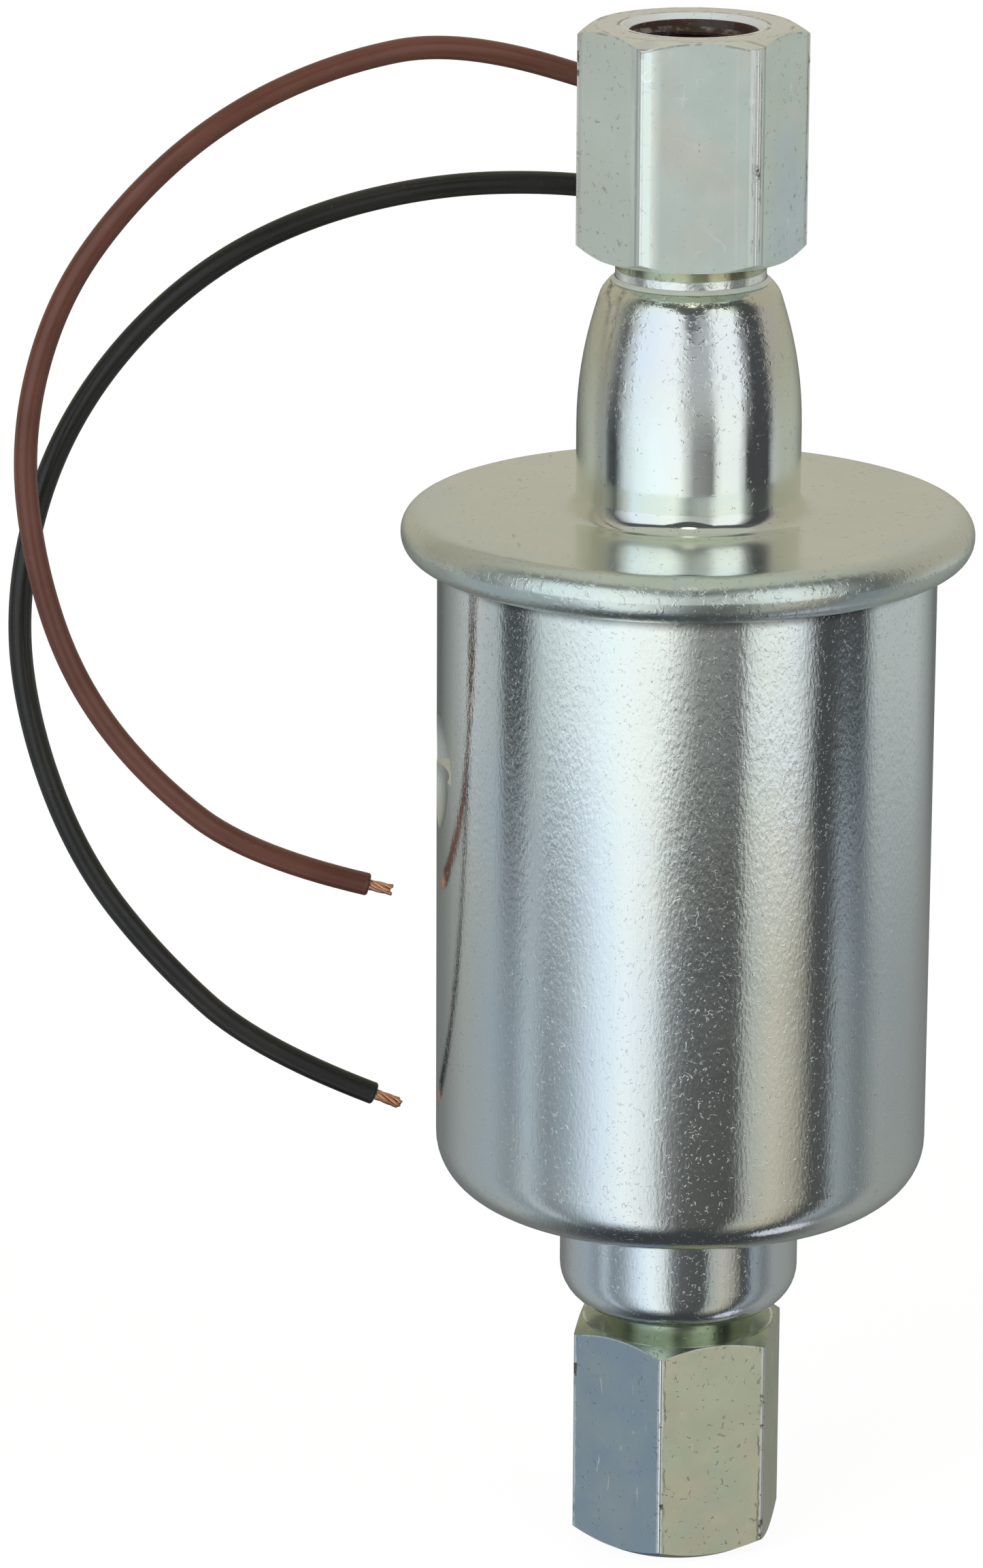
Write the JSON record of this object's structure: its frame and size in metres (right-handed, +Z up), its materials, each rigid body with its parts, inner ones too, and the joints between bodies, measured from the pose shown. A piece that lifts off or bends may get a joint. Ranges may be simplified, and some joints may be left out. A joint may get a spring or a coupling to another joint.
{
  "type": "in-line electric fuel pump",
  "caption": "Sealed steel in-line fuel pump with a hex pipe port at each end, a domed rolled-rim cover, two loose wire leads, and a sprung plunger, valves and contact breaker inside.",
  "frame": {"origin": "centre of the inlet hex's end face, at the bottom", "axes": "+Z runs up the pump's axis from the inlet to the outlet, +Y points to the side where the leads leave the can, and the leads' free ends hang on the -X side"},
  "size_m": [0.1016, 0.0799, 0.1643],
  "materials": {
    "can_steel": "bright zinc plated drawn steel with fine handling scratches",
    "cover_steel": "bright zinc plated steel, satin on the flange and shiny on the dome",
    "fitting_steel": "zinc chromate plated hex bar, satin, worn bright at the corners",
    "braze_metal": "braze under plating",
    "black_rubber": "matt nitrile rubber",
    "valve_rubber": "matt fuel-proof rubber",
    "brass": "machined brass",
    "bobbin_plastic": "natural nylon",
    "enamelled_copper": "enamelled copper wire",
    "wrap_tape": "cloth insulating tape",
    "soft_iron": "plain low-carbon steel",
    "plunger_steel": "ground and plated magnetic steel",
    "spring_steel": "stainless spring wire",
    "screen_plastic": "moulded nylon screen",
    "phenolic": "phenolic sheet",
    "magnet": "cast magnet alloy",
    "contact_silver": "silver contact",
    "suppressor_case": "glossy moulded case",
    "brown_insulation": "semi-matt brown PVC",
    "black_insulation": "semi-matt black PVC",
    "copper": "bare copper strands"
  },
  "bodies": {
    "pump_body": {"can_shell": "can_steel", "top_cover": "cover_steel", "rim_gasket": "black_rubber", "inlet_fitting": "fitting_steel", "outlet_fitting": "fitting_steel", "inlet_braze": "braze_metal", "outlet_braze": "braze_metal", "plunger_tube": "brass", "lower_tube_seal": "black_rubber", "upper_tube_seal": "black_rubber", "coil_bobbin": "bobbin_plastic", "coil_winding": "enamelled_copper", "coil_wrap": "wrap_tape", "yoke_sleeve": "soft_iron", "lower_pole_washer": "soft_iron", "upper_pole_washer": "soft_iron", "return_spring": "spring_steel", "bumper_ring": "valve_rubber", "stop_ring": "brass", "inlet_valve_seat": "brass", "inlet_valve_cage": "brass", "inlet_valve_spring": "spring_steel", "inlet_screen": "screen_plastic", "breaker_base": "phenolic", "base_retainer": "spring_steel", "breaker_bracket": "brass", "rocker_pin": "spring_steel", "fixed_contact": "contact_silver", "arc_suppressor": "suppressor_case", "brown_terminal": "brass", "black_terminal": "brass", "lead_grommet": "black_rubber", "brown_inner_lead": "brown_insulation", "black_inner_lead": "black_insulation", "lead_brown": "brown_insulation", "lead_black": "black_insulation", "brown_strands": "copper", "black_strands": "copper"},
    "plunger_body": {"plunger": "plunger_steel", "plunger_valve_seat": "brass", "plunger_valve_cage": "brass"},
    "plunger_disc_body": {"plunger_valve_disc": "valve_rubber"},
    "inlet_disc_body": {"inlet_valve_disc": "valve_rubber"},
    "rocker_body": {"rocker_arm": "brass", "rocker_magnet": "magnet", "moving_contact": "contact_silver"}
  },
  "joints": [
    {"name": "plunger_slide", "type": "slide", "parent": "pump_body", "child": "plunger_body", "axis": [0, 0, -1], "range_m": [0, 0.008], "stiffness_N_per_m": 250, "springref_m": -0.022, "deforming": ["return_spring"]},
    {"name": "plunger_valve_lift", "type": "slide", "parent": "plunger_body", "child": "plunger_disc_body", "axis": [0, 0, 1], "range_m": [0, 0.0012]},
    {"name": "inlet_valve_lift", "type": "slide", "parent": "pump_body", "child": "inlet_disc_body", "axis": [0, 0, 1], "range_m": [0, 0.0015], "stiffness_N_per_m": 30, "springref_m": -0.004, "deforming": ["inlet_valve_spring"]},
    {"name": "breaker_rock", "type": "hinge", "parent": "pump_body", "child": "rocker_body", "pos_m": [0.012, 0, 0.095], "axis": [0, -1, 0], "range_deg": [0, 8]}
  ],
  "couplings": [
    {"joint": "breaker_rock", "follows": "plunger_slide", "rad_per_m": 17.4}
  ]
}
